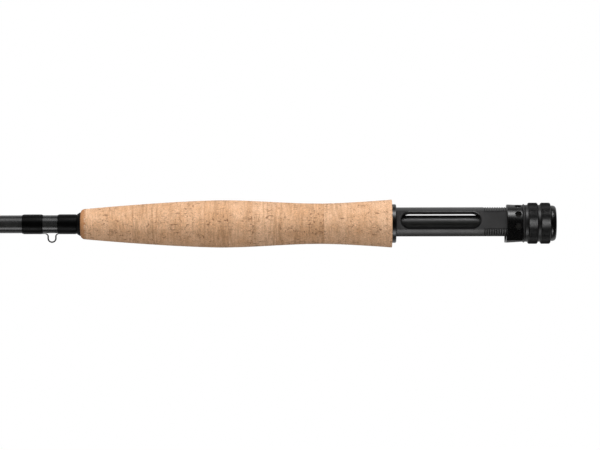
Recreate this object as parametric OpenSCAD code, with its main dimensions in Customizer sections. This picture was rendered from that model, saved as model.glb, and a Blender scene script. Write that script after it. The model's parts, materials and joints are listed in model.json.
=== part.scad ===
// Ten-foot, four-piece fly rod with an uplocking skeleton reel seat.
// The rod lies along X: the butt face is at x = 0 and the tip points to -X.
// The reel, the hook keeper and the line guides are on the underside, -Z.
// "s" is the distance from the butt face towards the tip, so x = -s.

/* [Rod] */
// Length of the assembled rod
rod_len = 3048; // [2800:4:3300]
// Length over which one section slides on to the next
ferrule_len = 50; // [40:1:60]
// Blank diameter at the reel seat
butt_d = 10.2; // [9.9:0.1:10.8]
// Blank diameter at the top of the butt section
butt_top_d = 7.8; // [7.2:0.1:8.2]
// Blank diameter at the top of the lower middle section
lower_mid_top_d = 5.6; // [5:0.1:6]
// Blank diameter at the top of the upper middle section
upper_mid_top_d = 3.4; // [3.1:0.1:3.8]
// Blank diameter at the very tip
tip_d = 1.6; // [1.4:0.1:2]
// Wall of the carbon tube
blank_wall = 0.7; // [0.6:0.05:0.75]
// Wall of the socket end of a section
socket_wall = 0.65; // [0.5:0.05:1]
// Radial clearance of a section's plug in its socket
ferrule_clear = 0.03; // [0.02:0.01:0.08]
// Length of the thread wrap that binds each socket
ferrule_wrap_len = 16; // [10:1:24]
// Thickness of a plain thread wrap
wrap_t = 0.4; // [0.3:0.05:0.6]

/* [Grip] */
// Length of the cork grip
grip_len = 165; // [150:1:178]
// Length of one cork ring
cork_ring_len = 12.6; // [12:0.1:13.5]
// Length of the cork ring at the heel
heel_ring_len = 10.9; // [9:0.1:12.6]
// Length of the composite cork ring at the nose
nose_ring_len = 2.9; // [2.6:0.1:5]
// Radius of the grip where its nose rounding ends
nose_r = 7.85; // [7.3:0.05:9]
// Radius of the flat front face of the grip
nose_face_r = 5.9; // [5.7:0.1:6.4]
// Radius of the grip at its swell
swell_r = 12.54; // [11:0.02:14]
// Distance of the swell from the front face
swell_at = 74.5; // [60:0.5:90]
// How much slimmer the grip's waist is than its heel, in radius
waist_drop = 1.98; // [1:0.02:2.4]
// Distance of the waist from the front face
waist_at = 127.5; // [110:0.5:135]
// Thickness of the cork over the fixed hood at the grip's rear face
heel_wall = 2.45; // [2:0.05:3.5]
// Length of the flared winding check at the grip's nose
check_len = 1.8; // [1.2:0.1:3]

/* [Reel seat] */
// Diameter of the barrel over its thread
barrel_d = 17.1; // [16.5:0.1:17.5]
// Distance of each flat from the barrel's axis
flat_h = 6.83; // [6.5:0.01:7.2]
// Angle by which the two side flats look upwards
flat_tilt = 14.5; // [8:0.5:20]
// Bare length of barrel between the fixed hood and the thread
bare_len = 46.7; // [44:0.1:52]
// Length of the threaded end of the barrel
thread_len = 35.1; // [34:0.1:38]
// Pitch of the thread
thread_pitch = 1.27; // [1:0.01:1.5]
// Depth of the thread
thread_depth = 0.32; // [0.2:0.01:0.45]
// Length of each window in the side flats
window_len = 42.5; // [30:0.1:44]
// Width of each window
window_w = 9.3; // [8.9:0.1:9.8]
// Chamfer round each window
window_chamfer = 0.35; // [0.2:0.05:0.5]
// Bare barrel between the fixed hood and the window
window_margin = 2.4; // [2:0.1:3]
// Outside diameter of the core tube that carries the barrel
core_d = 8.6; // [8.2:0.1:8.7]
// Bore of the core tube
core_bore = 6.6; // [6:0.1:7]
// Length of core tube glued into the blank
core_grip_len = 60; // [40:1:70]
// Radial gap that the glue fills
glue_gap = 0.03; // [0.02:0.01:0.05]
// Radial running clearance of the hood and lock rings on the barrel
run_clear = 0.08; // [0.04:0.01:0.1]

/* [Hoods and rings] */
// Radial thickness of the fixed hood round the barrel
fixed_hood_t = 1.7; // [1.5:0.05:2]
// Length of the fixed hood that shows behind the grip
collar_len = 2.2; // [1.5:0.1:4]
// Depth of the fixed hood's pocket for the reel foot
fixed_pocket_len = 19.3; // [15:0.1:24]
// Thickness of the fixed hood's front wall
hood_wall = 2; // [1.5:0.1:3]
// Width of both pockets for the reel foot
pocket_w = 13; // [12:0.1:14]
// How far both pockets reach beyond the barrel at the mouth
pocket_depth = 0.85; // [0.65:0.05:0.95]
// Radial thickness of the sliding hood round the barrel
hood_t = 1.45; // [1.25:0.05:1.65]
// Length of the sliding hood
hood_len = 8.2; // [7:0.1:12]
// Radius of the lower corners of the sliding hood
hood_corner_r = 1.5; // [1:0.1:3]
// How far the hood's lower lip reaches past its mouth
lip_len = 0.5; // [0.3:0.1:1]
// Diameter of the six holes in the sliding hood
hood_hole_d = 3.6; // [2.5:0.1:4.2]
// Spacing of those holes round the hood, in degrees
hood_hole_step = 40; // [36:1:44]
// Thickness of the thrust washer behind the hood
washer_t = 1.5; // [1:0.1:2]
// Radial width of the thrust washer round the barrel
washer_w = 1.65; // [1.4:0.05:2]
// Radial thickness of the lock rings, from the barrel to the knurl
ring_t = 2.35; // [2:0.05:3]
// Width of the knurled band of a lock ring
band_len = 5.2; // [4:0.1:6]
// Width of the plain shoulder of a lock ring
shoulder_len = 1.4; // [1:0.1:2]
// How far that shoulder lies below the knurl
shoulder_drop = 1.1; // [0.9:0.05:1.4]
// Number of grooves in the knurl
knurl_count = 120; // [80:1:140]
// Depth of the knurl
knurl_depth = 0.18; // [0.1:0.02:0.3]
// Free play between neighbouring rings
ring_play = 0.1; // [0.05:0.05:0.3]
// Visible length of the butt cap
cap_len = 2.9; // [2:0.1:5]
// How far the butt cap stands out round the barrel
cap_overhang = 0.95; // [0.65:0.05:1.4]
// Length of the butt cap's plug in the core tube
cap_plug_len = 9; // [6:0.5:12]

/* [Hook keeper] */
// Wire diameter of the hook keeper
keeper_wire_d = 0.56; // [0.5:0.02:0.8]
// Distance of the keeper from the grip's front face
keeper_gap = 15.2; // [14:0.1:16]
// Radius of the keeper's loop
keeper_r = 2.05; // [1.8:0.05:2.3]
// Radius of the flare where the keeper meets the blank
keeper_flare_r = 1.25; // [1:0.05:1.4]
// Depth of the loop below the blank
keeper_drop = 4.9; // [4.5:0.1:6]
// Length of the two wraps that bind the keeper
keeper_wrap_len = 11; // [9:0.5:13]

/* [Line guides] */
// Distance between the tip and the first guide
guide_first = 112; // [100:1:125]
// Distance of the lowest guide from the upper end of the butt section
stripper_back = 96.6; // [90:0.1:110]
// Opening of the lower stripping guide
stripper_bore = 8; // [7:0.1:9]
// Ratio of the upper stripping guide to the lower one
stripper_step = 0.82; // [0.78:0.01:0.95]
// Wire diameter of the stripping guides
stripper_wire_d = 1.2; // [1:0.05:1.4]
// Loop radius of the lowest snake guide
snake_r_low = 3.5; // [3.2:0.05:3.8]
// Loop radius of the highest snake guide
snake_r_high = 2.4; // [2.2:0.05:2.6]
// Wire diameter of the snake guides
snake_wire_d = 0.8; // [0.7:0.05:1]
// Length of a guide foot
foot_len = 12; // [9:0.5:14]
// Thickness of a guide foot
foot_t = 0.36; // [0.25:0.01:0.4]
// Radius of the tip ring, to the middle of its wire
tip_ring_r = 2.7; // [2.3:0.05:3]
// Length of the tip ring's tube
tip_tube_len = 9; // [7:0.5:12]
// Length of the thread wrap below that tube
tip_wrap_len = 7; // [5:0.5:10]

/* [Hidden] */
$fn = 72;
section_len = (rod_len + 3*ferrule_len)/4;

// reel seat stations, from the butt face
ring_len = band_len + shoulder_len;
rear_ring_s = cap_len + 2*ring_play;
front_ring_s = rear_ring_s + ring_len + ring_play;
washer_s = front_ring_s + ring_len;
hood_s = washer_s + washer_t + ring_play;
thread_s = cap_len + thread_len;
seat_s = thread_s + bare_len;             // rear face of the fixed hood
grip_s = seat_s + collar_len;             // rear face of the grip
barrel_end_s = seat_s + fixed_pocket_len;
blank_s = barrel_end_s + hood_wall;       // rear end of the blank
nose_s = grip_s + grip_len;               // front face of the grip
window_s = seat_s - window_margin - window_len/2;
barrel_r = barrel_d/2;
core_r = core_d/2;
cap_d = barrel_d + 2*cap_overhang;
ring_d = barrel_d + 2*ring_t;
shoulder_d = ring_d - 2*shoulder_drop;
washer_d = barrel_d + 2*washer_w;
hood_d = barrel_d + 2*hood_t;
fixed_hood_d = barrel_d + 2*fixed_hood_t;
pocket_r = barrel_r + pocket_depth;       // at the mouth

// grip
least_ring = 0.1;                         // a shorter rest, in rings, joins the last one
cork_count = 1 + ceil((grip_len - nose_ring_len - heel_ring_len)/cork_ring_len - least_ring);
nose_round = nose_ring_len - 0.4;
heel_r = fixed_hood_d/2 + heel_wall;      // radius of the grip at its rear face
waist_r = heel_r - waist_drop;
keeper_at = nose_s + keeper_gap;

// guides, counted from the butt: 1 and 2 are stripping guides
guide_count = 11;
strip_t = 0.5;                            // foot thickness of a stripping guide
over_foot_t = 0.25;                       // thread over a foot
bind_ramp = 1.5;                          // length over which a guide's wrap thins out
bind_margin = 1.7;                        // thread past the end of a foot
foot_gap = 0.05;                          // thread cement under a foot
insert_t = 1.1;                           // radial thickness of a ceramic insert
band_t = 0.6;                             // thickness of the band round it
band_w = 2.2;                             // width of the larger band along the rod
insert_w = 2.6;                           // width of the larger insert
stripper_rise = 4.6;                      // height of the larger band above its feet
ring_lean = 8;                            // lean of the stripping guides' rings

// tip ring
tip_wire_d = 0.9;
tip_lean = 30;
tube_end_t = 0.6;
tube_end_s = rod_len - 2*tip_ring_r*sin(tip_lean) - tip_wire_d/2;
tube_r = tip_d/2 + glue_gap + 0.35;
tip_wrap_t = 0.35;

anodised = [0.08, 0.08, 0.085];
satin_black = [0.22, 0.22, 0.23];
carbon = [0.16, 0.17, 0.18];
thread_black = [0.04, 0.04, 0.045];
cork = [0.83, 0.66, 0.5];
cork_dark = [0.75, 0.52, 0.34];
steel = [0.62, 0.63, 0.65];
acetal = [0.3, 0.3, 0.31];
ceramic = [0.2, 0.2, 0.22];

// ---- blank ----

function section_low(i) = i == 0 ? blank_s : i*(section_len - ferrule_len);
function section_high(i) =
    i < 3 ? i*(section_len - ferrule_len) + section_len : tube_end_s - tube_end_t;
function top_d(i) = [butt_top_d, lower_mid_top_d, upper_mid_top_d, tip_d][i];
// diameter of a section's plug where the next section's socket begins
function plug_d(i) = blank_d(i, section_high(i) - ferrule_len);
function low_d(i) = i == 0 ? butt_d : plug_d(i - 1) + 2*(ferrule_clear + socket_wall);
function blank_d(i, s) = low_d(i)
    + (top_d(i) - low_d(i))*(s - section_low(i))/(section_high(i) - section_low(i));
function blank_r(i, s) = blank_d(i, s)/2;

// radius of the grip at a distance from its front face
function grip_r(d) =
    d < swell_at ? swell_r - (swell_r - nose_r)*pow(1 - d/swell_at, 1.45)
    : d < waist_at ? (swell_r + waist_r)/2
        + (swell_r - waist_r)/2*cos(180*(d - swell_at)/(waist_at - swell_at))
    : waist_r + (heel_r - waist_r)*pow((d - waist_at)/(grip_len - waist_at), 1.5);

// Each guide spacing is guide_growth times the one before, from the tip down. The ratio
// is halved in on until the lowest guide lies where it should.
function spread(growth, n) = guide_first*(pow(growth, n) - 1)/(growth - 1);
function fit_growth(low, high, steps) =
    let (middle = (low + high)/2)
    steps == 0 ? middle
    : spread(middle, guide_count) < guide_run ? fit_growth(middle, high, steps - 1)
    : fit_growth(low, middle, steps - 1);
guide_run = rod_len - section_high(0) + stripper_back;
guide_growth = fit_growth(1.001, 1.5, 40);

// distance of a guide from the butt face
function guide_s(n) = rod_len - spread(guide_growth, guide_count + 1 - n);
function guide_section(n) = n < 2 ? 0 : n < 4 ? 1 : n < 7 ? 2 : 3;
function guide_blank_r(n) = blank_r(guide_section(n), guide_s(n) - 2*foot_len);
function stripper_scale(n) = n == 1 ? 1 : stripper_step;
function snake_r(n) = snake_r_low + (snake_r_high - snake_r_low)*(n - 3)/(guide_count - 3);

// ---- helpers ----

// places children at distance s, with local z towards the tip and local x upwards
module at_s(s) translate([-s, 0, 0]) rotate([0, -90, 0]) children();

// a turned piece, from [radius, s] points
module turned(profile) rotate([0, -90, 0]) rotate_extrude() polygon(profile);

// a plain sleeve with the wall from r0 to r1
module sleeve(r0, r1, s0, s1)
    turned([[r0, s0], [r1, s0], [r1, s1], [r0, s1]]);

// a thread wrap with ramped ends
module thread_wrap(r0, t, s0, s1, ramp = 0.9) {
    edge = 0.1;
    turned([[r0, s0], [r0 + edge, s0], [r0 + t, s0 + ramp], [r0 + t, s1 - ramp],
            [r0 + edge, s1], [r0, s1]]);
}

// a straight round rod between two points
module rod_between(p, q, d) {
    v = q - p;
    length = norm(v);
    translate(p) rotate([0, acos(v.z/length), atan2(v.y, v.x)]) cylinder(d = d, h = length);
}

// a box hanging under the blank: its upper face is r below the axis
module under_blank(r, t, w, s0, s1)
    translate([-s1, -w/2, -r - t]) cube([s1 - s0, w, t]);

// ---- reel seat ----

// the barrel's section without its round lands: three planes round the axis
module flat_limits(h) {
    big = 2*barrel_d;
    difference() {
        square(big, center = true);
        for (a = [180, 90 - flat_tilt, flat_tilt - 90])
            rotate(a) translate([h, -big/2]) square(big);
    }
}

// a window cutter along local x: a round-ended slot with a chamfered rim
module window_cutter() {
    half = window_len/2 - window_w/2;
    wide = window_w/2 + window_chamfer;
    rotate([0, 90, 0]) {
        linear_extrude(barrel_d) {
            square([2*half, window_w], center = true);
            for (e = [-half, half]) translate([e, 0]) circle(d = window_w);
        }
        translate([0, 0, flat_h - window_chamfer]) {
            for (e = [-half, half]) translate([e, 0, 0])
                cylinder(r1 = window_w/2, r2 = wide + window_chamfer, h = 2*window_chamfer);
            translate([-half, 0, 0]) rotate([90, 0, 90]) linear_extrude(2*half)
                polygon([[-window_w/2, 0], [window_w/2, 0],
                         [wide + window_chamfer, 2*window_chamfer],
                         [-wide - window_chamfer, 2*window_chamfer]]);
        }
    }
}

module seat_barrel() {
    turns = floor((thread_len - thread_pitch)/thread_pitch);
    root_r = barrel_r - thread_depth;
    flank = 0.35*thread_pitch;
    crest = thread_pitch - 2*flank;
    thread = [for (k = [turns:-1:1]) let (s = thread_s - k*thread_pitch)
        each [[root_r, s], [barrel_r, s + flank], [barrel_r, s + flank + crest]]];
    color(satin_black) difference() {
        intersection() {
            turned(concat([[0, cap_len], [root_r, cap_len]], thread,
                          [[root_r, thread_s], [barrel_r, thread_s + thread_depth],
                           [barrel_r, barrel_end_s], [0, barrel_end_s]]));
            at_s(0) linear_extrude(barrel_end_s + 1) flat_limits(flat_h);
        }
        at_s(cap_len - 1) cylinder(r = core_r + glue_gap, h = barrel_end_s);
        for (a = [90 - flat_tilt, flat_tilt - 90])
            at_s(window_s) rotate(a) window_cutter();
    }
}

module core_tube() {
    color(carbon) sleeve(core_bore/2, core_r, cap_len, blank_s + core_grip_len);
}

// the reel foot's pocket: a tapering crescent under the barrel
module foot_pocket(s_mouth, depth, way) {
    end_r = barrel_r + run_clear + 0.1;
    inside = 1.5;                          // how far the cut reaches into the barrel's bore
    at_s(s_mouth) intersection() {
        mirror([0, 0, way > 0 ? 0 : 1]) translate([0, 0, -1])
            cylinder(r1 = pocket_r + (pocket_r - end_r)/depth, r2 = end_r, h = depth + 1);
        translate([-barrel_d, -pocket_w/2, -2*barrel_d])
            cube([barrel_d - flat_h + inside, pocket_w, 4*barrel_d]);
    }
}

module fixed_hood() {
    r = fixed_hood_d/2;
    edge = 0.4;
    color(anodised) difference() {
        turned([[core_r + glue_gap, seat_s], [r - edge, seat_s], [r, seat_s + edge],
                [r, blank_s], [core_r + glue_gap, blank_s]]);
        at_s(seat_s - 1) cylinder(r = barrel_r + glue_gap, h = fixed_pocket_len + 1);
        foot_pocket(seat_s, fixed_pocket_len - 1, 1);
    }
}

// a hood's lower half in section: straight sides, a flat bottom and round corners
module lower_half(side, depth, corner) {
    translate([corner - depth, -side]) square([depth - corner, 2*side]);
    translate([-depth, corner - side]) square([corner, 2*(side - corner)]);
    for (e = [-1, 1]) translate([corner - depth, e*(side - corner)]) circle(corner);
}

module sliding_hood() {
    r = hood_d/2;
    mouth_s = hood_s + hood_len;
    edge = 0.3;
    waist = 0.2;                           // how much slimmer the rear half is
    back_wall = 1.4;
    hole_s = hood_s + 0.28*hood_len;
    core = 0.8*barrel_r;                   // inside the bore that is cut through both
    side = r - 0.3;                        // the straight sides lie just inside the round
    chin = r + 0.2;                        // depth of the underside at the lip
    lip_root = 1;                          // how far the lip's solid reaches into the hood
    rise = atan(0.5/hood_len);             // slope of the underside
    color(anodised) difference() {
        union() {
            turned([[core, hood_s], [r - edge - waist, hood_s], [r - waist, hood_s + edge],
                    [r - waist, hood_s + 0.45*hood_len], [r, mouth_s - edge],
                    [r - edge, mouth_s], [core, mouth_s]]);
            at_s(hood_s + edge) linear_extrude(hood_len - 1.5*edge)
                lower_half(side, chin, hood_corner_r);
            at_s(mouth_s - lip_root) intersection() {
                linear_extrude(lip_root + lip_len) lower_half(side, chin, hood_corner_r);
                translate([-2*chin, -r, 0]) cube([2*chin - flat_h + 1, 2*r, lip_root + lip_len]);
            }
        }
        translate([-mouth_s - lip_len, 0, -chin]) rotate([0, -rise, 0])
            translate([-1, -2*r, -r]) cube([2*hood_len, 4*r, r]);
        at_s(hood_s - 1) cylinder(r = barrel_r + run_clear, h = hood_len + lip_len + 2);
        foot_pocket(mouth_s, hood_len - back_wall, -1);
        for (k = [-2.5:1:2.5]) at_s(hole_s) rotate([0, 90, k*hood_hole_step])
            translate([0, 0, core]) rotate(90) cylinder(d = hood_hole_d, h = r);
    }
}

module thrust_washer() {
    bore_r = barrel_r + run_clear;
    rim_r = washer_d/2;
    face_r = rim_r - 0.55;
    s0 = washer_s + ring_play/2;
    color(acetal) turned([
        [bore_r, s0], [face_r, s0], [rim_r, s0 + 0.4*washer_t], [rim_r, s0 + 0.55*washer_t],
        [face_r, s0 + washer_t], [bore_r, s0 + washer_t]]);
}

module lock_ring(s) {
    r = ring_d/2;
    chamfer = 0.5;
    color(anodised) difference() {
        union() {
            intersection() {
                turned([[0, s], [r - chamfer, s], [r, s + chamfer],
                        [r, s + band_len - chamfer], [r - chamfer, s + band_len],
                        [0, s + band_len]]);
                at_s(s - 1) linear_extrude(band_len + 2)
                    polygon([for (k = [0:2*knurl_count - 1]) let (a = 180*k/knurl_count)
                        (r + 0.02 - knurl_depth*(k % 2))*[cos(a), sin(a)]]);
            }
            at_s(s) cylinder(d = shoulder_d, h = ring_len);
        }
        at_s(s - 1) cylinder(r = barrel_r + run_clear, h = ring_len + 2);
    }
}

module butt_cap() {
    r = cap_d/2;
    plug_r = core_bore/2 - glue_gap;
    round = 1.7;
    taper = 0.15;
    edge = 0.25;
    color(anodised) turned(concat(
        [[0, 0]],
        [for (a = [0:15:90]) [r - taper - round + round*sin(a), round*(1 - cos(a))]],
        [[r, 0.7*cap_len], [r - edge, cap_len], [plug_r, cap_len],
         [plug_r, cap_len + cap_plug_len], [0, cap_len + cap_plug_len]]));
}

// ---- grip ----

// the bore follows the blank, and the fixed hood at the heel
function cork_bore(s) = (s < blank_s ? fixed_hood_d/2 : blank_r(0, s)) + glue_gap;

module cork_piece(s0, s1, colour) {
    steps = 6;
    top = [for (k = [0:steps]) let (s = s0 + (s1 - s0)*k/steps) [grip_r(nose_s - s), s]];
    inner = s0 < blank_s && s1 > blank_s
        ? [[cork_bore(s1), s1], [cork_bore(blank_s), blank_s],
           [cork_bore(s0), blank_s], [cork_bore(s0), s0]]
        : [[cork_bore(s1), s1], [cork_bore(s0), s0]];
    color(colour) turned(concat(top, inner));
}

// ring 1 is at the heel
function cork_end(i) =
    i < cork_count ? grip_s + heel_ring_len + (i - 1)*cork_ring_len : nose_s - nose_ring_len;
module cork_ring(i)
    cork_piece(i > 1 ? cork_end(i - 1) : grip_s, cork_end(i), i % 2 == 0 ? cork : 0.96*cork);

module nose_ring() {
    s0 = nose_s - nose_ring_len;
    shoulder_r = grip_r(nose_round);
    round = [for (a = [0:15:90])
        [nose_face_r + (shoulder_r - nose_face_r)*cos(a), nose_s - nose_round*(1 - sin(a))]];
    color(cork_dark) turned(concat(
        [[cork_bore(s0), s0], [grip_r(nose_ring_len), s0]], round,
        [[cork_bore(nose_s), nose_s]]));
}

module winding_check() {
    r = blank_r(0, nose_s) + glue_gap;
    color(thread_black) turned([
        [r, nose_s], [nose_face_r + 0.35, nose_s], [nose_face_r + 0.35, nose_s + 0.3],
        [r + 0.45, nose_s + check_len], [r, nose_s + check_len]]);
}

// ---- blank sections ----

module blank_section(i) {
    s0 = section_low(i);
    s1 = section_high(i);
    join_s = i == 0 ? s0 + core_grip_len : s0 + ferrule_len;
    socket_low = i == 0 ? core_r + glue_gap : plug_d(i - 1)/2 + ferrule_clear;
    socket_high = i == 0 ? core_r + glue_gap : top_d(i - 1)/2 + ferrule_clear;
    least_bore = 0.2;
    function bore_r(s) = max(blank_r(i, s) - blank_wall, least_bore);
    blend = 3;                             // where the socket runs out into the bore
    color(carbon) turned([
        [socket_low, s0], [blank_r(i, s0), s0], [blank_r(i, s1), s1], [bore_r(s1), s1],
        [bore_r(join_s + blend), join_s + blend], [socket_high, join_s]]);
}

module socket_wrap(i) {
    rim = 0.8;                             // bare socket before the wrap
    s0 = section_low(i) + rim;
    color(thread_black) thread_wrap(blank_r(i, s0) + glue_gap, wrap_t, s0, s0 + ferrule_wrap_len);
}

// ---- hook keeper ----

keeper_r0 = blank_r(0, keeper_at) + 0.05;
keeper_foot_x = keeper_r + keeper_flare_r;
keeper_foot_len = 7;
keeper_foot_reach = keeper_foot_x + keeper_foot_len;
keeper_foot_t = 0.28;
keeper_foot_w = 0.9;
keeper_bare = 1.4;                         // bare blank ahead of the front leg

module hook_keeper() {
    wire_r = keeper_wire_d/2;
    top_z = -keeper_r0 - wire_r;
    neck_z = top_z - keeper_flare_r;
    loop_z = -keeper_r0 - keeper_drop + wire_r + keeper_r;
    color(steel) translate([-keeper_at, 0, 0]) {
        translate([0, 0, loop_z]) rotate([90, 0, 0]) rotate(180)
            rotate_extrude(angle = 180) translate([keeper_r, 0]) circle(r = wire_r, $fn = 24);
        for (e = [-1, 1]) {
            translate([e*keeper_r, 0, loop_z])
                cylinder(r = wire_r, h = neck_z - loop_z, $fn = 24);
            translate([e*keeper_foot_x, 0, neck_z]) rotate([90, 0, 0])
                rotate(e > 0 ? 90 : 0) rotate_extrude(angle = 90)
                    translate([keeper_flare_r, 0]) circle(r = wire_r, $fn = 24);
            translate([e > 0 ? keeper_foot_x - 0.1 : -keeper_foot_x - keeper_foot_len + 0.1,
                       -keeper_foot_w/2, -keeper_r0 - keeper_foot_t])
                cube([keeper_foot_len, keeper_foot_w, keeper_foot_t]);
        }
    }
}

module keeper_wraps() {
    slot_r = keeper_r0 + keeper_foot_t + glue_gap;
    slot_w = keeper_foot_w + 2*glue_gap;
    rear_s0 = nose_s + check_len;
    rear_s1 = keeper_at - keeper_foot_x + 0.2;
    front_s0 = keeper_at + keeper_foot_x + keeper_bare;
    front_s1 = front_s0 + keeper_wrap_len;
    color(thread_black) difference() {
        union() {
            thread_wrap(blank_r(0, rear_s0) + glue_gap, wrap_t, rear_s0, rear_s1);
            thread_wrap(blank_r(0, front_s0) + glue_gap, wrap_t, front_s0, front_s1);
        }
        for (e = [-1, 1])
            under_blank(0, slot_r, slot_w, keeper_at + (e < 0 ? -keeper_foot_reach : 0),
                        keeper_at + (e < 0 ? 0 : keeper_foot_reach));
        under_blank(0, keeper_r0 + keeper_wire_d + glue_gap, keeper_wire_d + 2*glue_gap,
                    keeper_at - keeper_foot_x - 0.4, keeper_at);
    }
}

// ---- line guides ----

// a guide's feet and the inner ends of its two wraps, measured from its middle
function guide_half(n) = n < 3 ? 1.35*stripper_bore*stripper_scale(n) : 1.15*snake_r(n) + 1;
function foot_w(n) = n < 3 ? 1.8 : 0.9;
function foot_thick(n) = n < 3 ? strip_t : foot_t;

// inside radius of the metal band, and the ring's centre below the axis
function band_r(n) = stripper_scale(n)*stripper_bore/2 + insert_t;
function ring_z(n) = -guide_blank_r(n) - foot_gap - band_r(n) - band_t
    - stripper_scale(n)*stripper_rise;

module stripping_guide(n) {
    k = stripper_scale(n);
    half = guide_half(n);
    wire = k*stripper_wire_d;
    weld_d = 1.06*wire;                    // the ball of solder at each end of a leg
    foot_top = -guide_blank_r(n) - foot_gap;
    foot_z = foot_top - weld_d/2;
    hip_r = band_r(n) + 0.75*wire;         // the legs meet the band from outside
    hip_a = 25;                            // how far the legs meet the band above its middle
    color(steel) translate([-guide_s(n), 0, 0]) {
        // band round the insert
        translate([0, 0, ring_z(n)]) rotate([0, -90 + ring_lean, 0]) difference() {
            cylinder(r = band_r(n) + band_t, h = k*band_w, center = true);
            cylinder(r = band_r(n), h = 2*k*band_w, center = true);
        }
        // two legs to the foot on the tip side
        front_toe = [-half, 0, foot_z];
        for (e = [-1, 1]) {
            hip = [-0.3*k, e*hip_r*cos(hip_a), ring_z(n) + hip_r*sin(hip_a)];
            rod_between(front_toe, hip, wire);
            translate(hip) sphere(d = weld_d, $fn = 24);
        }
        // one leg to the foot on the butt side
        rear_toe = [half, 0, foot_z];
        knee = [0.8*k, 0, ring_z(n) + hip_r];
        rod_between(rear_toe, knee, wire);
        for (q = [front_toe, rear_toe, knee]) translate(q) sphere(d = weld_d, $fn = 24);
        // feet
        for (e = [-1, 1])
            translate([e > 0 ? half : -half - foot_len, -foot_w(n)/2, foot_top - strip_t])
                cube([foot_len, foot_w(n), strip_t]);
    }
}

module guide_insert(n) {
    r_in = stripper_scale(n)*stripper_bore/2;
    r_out = band_r(n) - glue_gap;
    half_w = stripper_scale(n)*insert_w/2;
    color(ceramic) translate([-guide_s(n), 0, ring_z(n)]) rotate([0, -90 + ring_lean, 0])
        rotate_extrude() polygon(concat(
            [for (a = [-75:25:75]) [r_out - 0.3 - (r_out - r_in - 0.3)*cos(a), half_w*sin(a)]],
            [[r_out, half_w*0.96], [r_out, -half_w*0.96]]));
}

// A snake guide is one wire: foot, a full turn that advances along the rod, foot.
// t runs from 0 to 1 through the turn, and outside that the wire is straight.
function ease(t) = t <= 0 ? 0 : t >= 1 ? 1 : t*t*(3 - 2*t);
function snake_point(n, t) =
    let (r = snake_r(n), a = 360*ease(t), rise = snake_lift(n, t),
         along = (2*t - 1)*(guide_half(n) - 1))
    [-along, r*sin(a), -guide_blank_r(n) - foot_gap - rise - r*(1 - cos(a))];
function snake_flat(t) = t < 0 ? 1 : t > 1 ? 1 : max(0, 1 - 8*min(t, 1 - t));
function snake_lift(n, t) = let (f = snake_flat(t)) f*foot_t/2 + (1 - f)*snake_wire_d/2;

module snake_guide(n) {
    sides = 8;
    turn_steps = 26;
    foot_extra = foot_len/(2*(guide_half(n) - 1));
    ts = concat([-foot_extra, -foot_extra/2], [for (k = [0:turn_steps]) k/turn_steps],
                [1 + foot_extra/2, 1 + foot_extra]);
    pts = [for (t = ts) snake_point(n, t)];
    count = len(pts);
    rings = [for (k = [0:count - 1])
        let (before = pts[max(k - 1, 0)], after = pts[min(k + 1, count - 1)],
             dir = (after - before)/norm(after - before),
             f = snake_flat(ts[k]),
             wide = f*foot_w(n)/2 + (1 - f)*snake_wire_d/2,
             high = f*foot_t/2 + (1 - f)*snake_wire_d/2,
             a = 360*ease(ts[k]),
             out0 = [0, sin(a), -cos(a)],
             out1 = out0 - (out0*dir)*dir,
             out = out1/norm(out1),
             side = cross(dir, out))
        [for (j = [0:sides - 1]) let (b = 360*(j + 0.5)/sides)
            pts[k] + high*cos(b)*out + wide*sin(b)*side]];
    color(steel) translate([-guide_s(n), 0, 0]) polyhedron(
        points = [for (ring = rings) each ring],
        faces = concat(
            [[for (j = [0:sides - 1]) j]],
            [for (k = [0:count - 2]) for (j = [0:sides - 1])
                let (m = (j + 1) % sides, a = k*sides, b = a + sides)
                each [[a + m, a + j, b + j], [a + m, b + j, b + m]]],
            [[for (j = [sides - 1:-1:0]) (count - 1)*sides + j]]));
}

// thread over both feet of one guide
module guide_wraps(n) {
    i = guide_section(n);
    t = foot_thick(n) + over_foot_t;
    near = guide_half(n) + (n < 3 ? 0.75*stripper_wire_d : 1);
    far = guide_half(n) + foot_len + bind_margin;
    slot_r = guide_blank_r(n) + foot_gap + foot_thick(n) + 0.01;
    slot_reach = guide_half(n) + foot_len + foot_gap;
    color(thread_black) difference() {
        for (e = [-1, 1]) {
            s0 = guide_s(n) + (e > 0 ? near : -far);
            r0 = blank_r(i, s0) + glue_gap;
            thread_wrap(r0, t, s0, s0 + far - near, bind_ramp);
        }
        under_blank(0, slot_r, foot_w(n) + 2*foot_gap,
                    guide_s(n) - slot_reach, guide_s(n) + slot_reach);
    }
}

// ---- tip ring ----

module tip_tube() {
    s0 = tube_end_s - tip_tube_len;
    color(steel) turned([
        [blank_r(3, s0) + glue_gap, s0], [tube_r, s0], [tube_r, tube_end_s - 0.4],
        [tube_r - 0.4, tube_end_s], [0, tube_end_s], [0, tube_end_s - tube_end_t],
        [tip_d/2 + glue_gap, tube_end_s - tube_end_t]]);
}

// the ring hangs from the end of the tube, on two wires soldered along its sides
module tip_ring() {
    wire_r = tip_wire_d/2;
    r = tip_ring_r;
    leg_d = 0.8*tip_wire_d;
    leg_a = 62;
    side_y = tube_r + leg_d/2 + glue_gap;
    top = [-tube_end_s, 0, -tube_r - glue_gap - wire_r];
    centre = top - r*[sin(tip_lean), 0, cos(tip_lean)];
    color(steel) {
        translate(centre) rotate([0, -90 + tip_lean, 0]) rotate_extrude()
            translate([r, 0]) circle(r = wire_r, $fn = 24);
        for (e = [-1, 1]) {
            heel = [-tube_end_s + tip_tube_len - 1, e*side_y, 0];
            bend = [-tube_end_s + 1.6, e*side_y, 0];
            stop = centre + r*[cos(leg_a)*sin(tip_lean), e*sin(leg_a), cos(leg_a)*cos(tip_lean)];
            rod_between(heel, bend, leg_d);
            rod_between(bend, stop, leg_d);
            for (q = [heel, bend, stop]) translate(q) sphere(d = leg_d, $fn = 24);
        }
    }
}

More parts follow.
